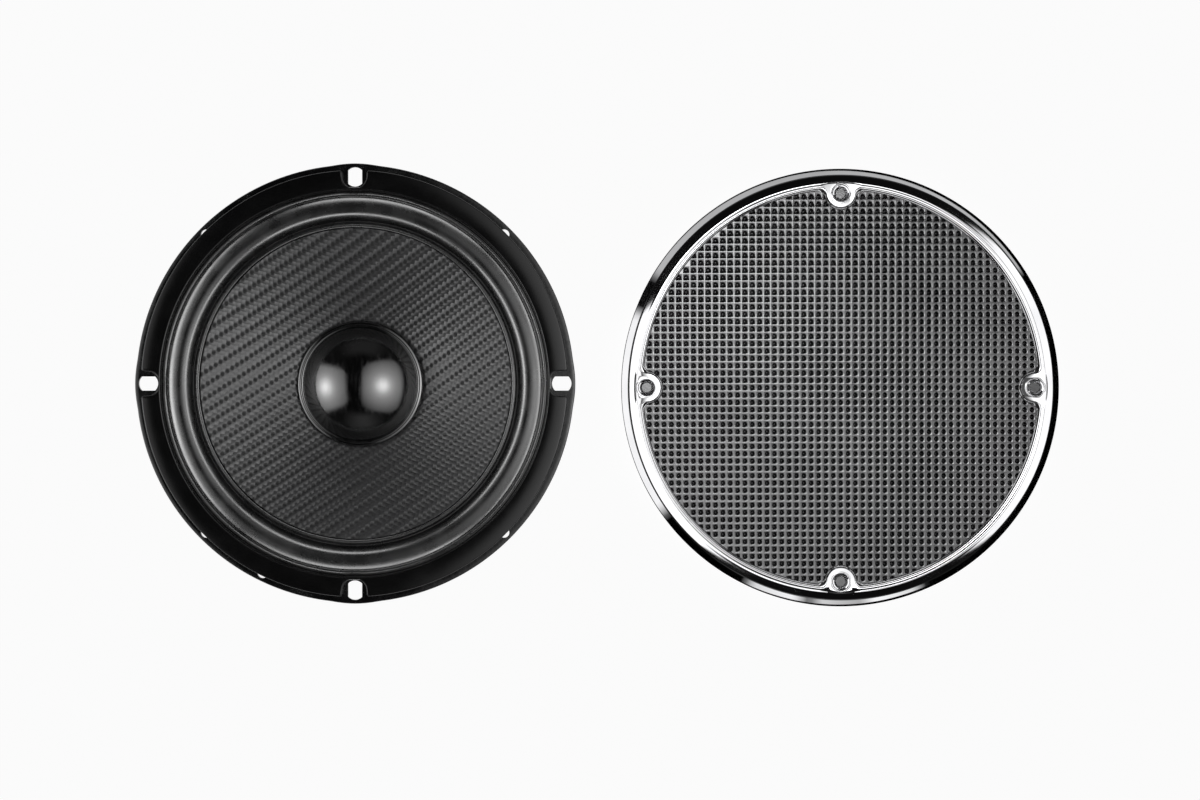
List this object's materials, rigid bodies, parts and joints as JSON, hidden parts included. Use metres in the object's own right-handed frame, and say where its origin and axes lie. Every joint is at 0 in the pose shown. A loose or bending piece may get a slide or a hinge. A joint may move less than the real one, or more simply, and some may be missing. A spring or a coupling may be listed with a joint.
{
  "type": "car speaker with detachable grille",
  "caption": "Round car speaker with a pressed basket, rubber surround, woven cone and gloss dust cap, with its chrome-rimmed dimpled grille lying beside it.",
  "frame": {"origin": "centre of the magnet assembly's flat back face, on the speaker's axis", "axes": "+Z along the speaker's axis, out of its front; +X towards the grille that lies beside it; the terminal board is at -Y"},
  "size_m": [0.3596, 0.176, 0.0618],
  "materials": {
    "black_painted_steel": "gloss black paint on pressed steel",
    "gasket_black": "satin black moulded ring",
    "surround_rubber": "satin black rubber",
    "spider_cloth": "resin-treated cloth",
    "zinc_steel": "zinc-plated steel",
    "ferrite": "dark grey ferrite",
    "board_phenolic": "brown phenolic board",
    "terminal_tin": "tin-plated blades and rivets",
    "lead_braid": "braided copper lead",
    "cone_weave": "black woven carbon-look twill, satin",
    "cap_gloss": "mirror-gloss black",
    "former_aluminium": "rolled aluminium",
    "coil_copper": "enamelled copper wire",
    "pad_glue": "black glue over solder",
    "grille_chrome": "polished chrome plating",
    "grille_black": "satin black metallic paint on embossed steel"
  },
  "bodies": {
    "chassis": {"basket": "black_painted_steel", "front_gasket": "gasket_black", "surround": "surround_rubber", "spider": "spider_cloth", "top_plate": "zinc_steel", "magnet": "ferrite", "t_yoke": "zinc_steel", "basket_rivet_1": "zinc_steel", "basket_rivet_2": "zinc_steel", "basket_rivet_3": "zinc_steel", "basket_rivet_4": "zinc_steel", "terminal_board": "board_phenolic", "terminal_positive": "terminal_tin", "terminal_negative": "terminal_tin", "terminal_rivet_positive": "terminal_tin", "terminal_rivet_negative": "terminal_tin", "board_rivet": "terminal_tin", "lead_positive": "lead_braid", "lead_negative": "lead_braid"},
    "cone_assembly": {"cone": "cone_weave", "dust_cap": "cap_gloss", "coil_former": "former_aluminium", "voice_coil": "coil_copper", "lead_pad_positive": "pad_glue", "lead_pad_negative": "pad_glue"},
    "grille": {"grille_ring": "grille_chrome", "grille_sheet": "grille_black", "grille_retainer": "grille_black"}
  },
  "joints": [
    {"name": "cone_travel", "type": "slide", "parent": "chassis", "child": "cone_assembly", "axis": [0, 0, 1], "range_m": [-0.0045, 0.0045], "stiffness_N_per_m": 1800, "deforming": ["surround", "spider", "lead_positive", "lead_negative"]},
    {"name": "grille_lift", "type": "slide", "parent": "chassis", "child": "grille", "axis": [0, 0, 1], "range_m": [0, 0.1]}
  ]
}
